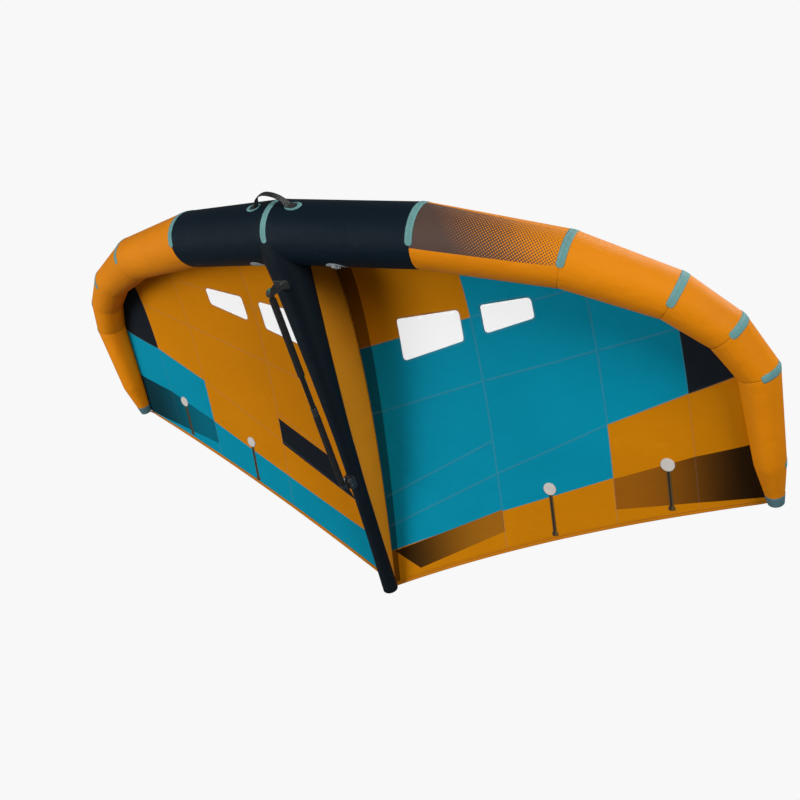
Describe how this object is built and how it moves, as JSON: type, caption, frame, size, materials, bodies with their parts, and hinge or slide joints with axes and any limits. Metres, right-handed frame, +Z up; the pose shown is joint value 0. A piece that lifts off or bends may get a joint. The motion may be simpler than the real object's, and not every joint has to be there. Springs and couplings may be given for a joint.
{
  "type": "inflatable wing",
  "caption": "Hand-held inflatable wing for foil boarding: curved air-filled leading edge, centre strut with folding rigid boom, fabric sail with film windows and battens.",
  "frame": {"origin": "middle of the boom, on its axis, where the hands hold the wing", "axes": "+X towards the right wing tip, +Y aft towards the strut's tail, +Z up, away from the boom's side"},
  "size_m": [3.4956, 1.9677, 0.4863],
  "materials": {
    "casing_navy": "satin woven polyester",
    "casing_orange": "satin woven polyester",
    "seam_tape": "matt reinforced tape",
    "sail_orange": "coated ripstop, slightly glossy",
    "sail_teal": "coated ripstop, slightly glossy",
    "sail_navy": "coated ripstop, slightly glossy",
    "window_film": "clear flexible film",
    "batten": "plain",
    "bladder_film": "translucent film, hidden inside",
    "strut_fabric": "satin woven polyester",
    "hose": "plain",
    "webbing": "woven webbing",
    "carbon": "clear-coated carbon composite",
    "foam_grip": "matt foam",
    "button": "satin",
    "pin_steel": "satin",
    "moulding": "satin moulded nylon"
  },
  "bodies": {
    "wing": {"batten_l1": "batten", "batten_l2": "batten", "batten_r1": "batten", "batten_r2": "batten", "boom_base_front": "moulding", "boom_base_rear": "moulding", "connector_hose": "hose", "handle_patch_l": "seam_tape", "handle_patch_r": "seam_tape", "handle_strap": "webbing", "hem_l": "sail_orange", "hem_r": "sail_orange", "hinge_pin": "pin_steel", "le_bladder": "bladder_film", "le_panel_l1": "casing_navy", "le_panel_l2": "casing_orange", "le_panel_l3": "casing_orange", "le_panel_l4": "casing_orange", "le_panel_l5": "casing_orange", "le_panel_l6": "casing_orange", "le_panel_r1": "casing_navy", "le_panel_r2": "casing_orange", "le_panel_r3": "casing_orange", "le_panel_r4": "casing_orange", "le_panel_r5": "casing_orange", "le_panel_r6": "casing_orange", "le_tape_centre": "seam_tape", "le_tape_l1": "seam_tape", "le_tape_l2": "seam_tape", "le_tape_l3": "seam_tape", "le_tape_l4": "seam_tape", "le_tape_r1": "seam_tape", "le_tape_r2": "seam_tape", "le_tape_r3": "seam_tape", "le_tape_r4": "seam_tape", "sail_panel_l1": "sail_orange", "sail_panel_l2": "sail_orange", "sail_panel_l3": "sail_teal", "sail_panel_l4": "sail_navy", "sail_panel_r1": "sail_orange", "sail_panel_r2": "sail_teal", "sail_panel_r3": "sail_teal", "sail_panel_r4": "sail_navy", "strut_bladder": "bladder_film", "strut_casing": "strut_fabric", "strut_web": "sail_orange", "valve_body": "moulding", "window_l1": "window_film", "window_l2": "window_film", "window_r1": "window_film", "window_r2": "window_film"},
    "boom": {"boom_tube": "carbon", "boom_collar": "moulding", "grip_front": "foam_grip", "grip_rear": "foam_grip", "boom_elbow": "moulding", "boom_rear_fitting": "moulding"},
    "release_button_body": {"release_button": "button"},
    "valve_cap_body": {"valve_cap": "moulding"}
  },
  "joints": [
    {"name": "boom_swing", "type": "hinge", "parent": "wing", "child": "boom", "pos_m": [0, 0.47956, 0.05918], "axis": [1, 0, 0], "range_deg": [0, 60]},
    {"name": "release_press", "type": "slide", "parent": "boom", "child": "release_button_body", "axis": [0, 0.9986, 0.0523], "range_m": [0, 0.004], "stiffness_N_per_m": 400, "springref_m": -0.002},
    {"name": "valve_cap_swing", "type": "hinge", "parent": "wing", "child": "valve_cap_body", "pos_m": [0.26723, -0.52373, 0.09677], "axis": [0.0714, -0.6031, -0.7945], "range_deg": [0, 120]}
  ]
}
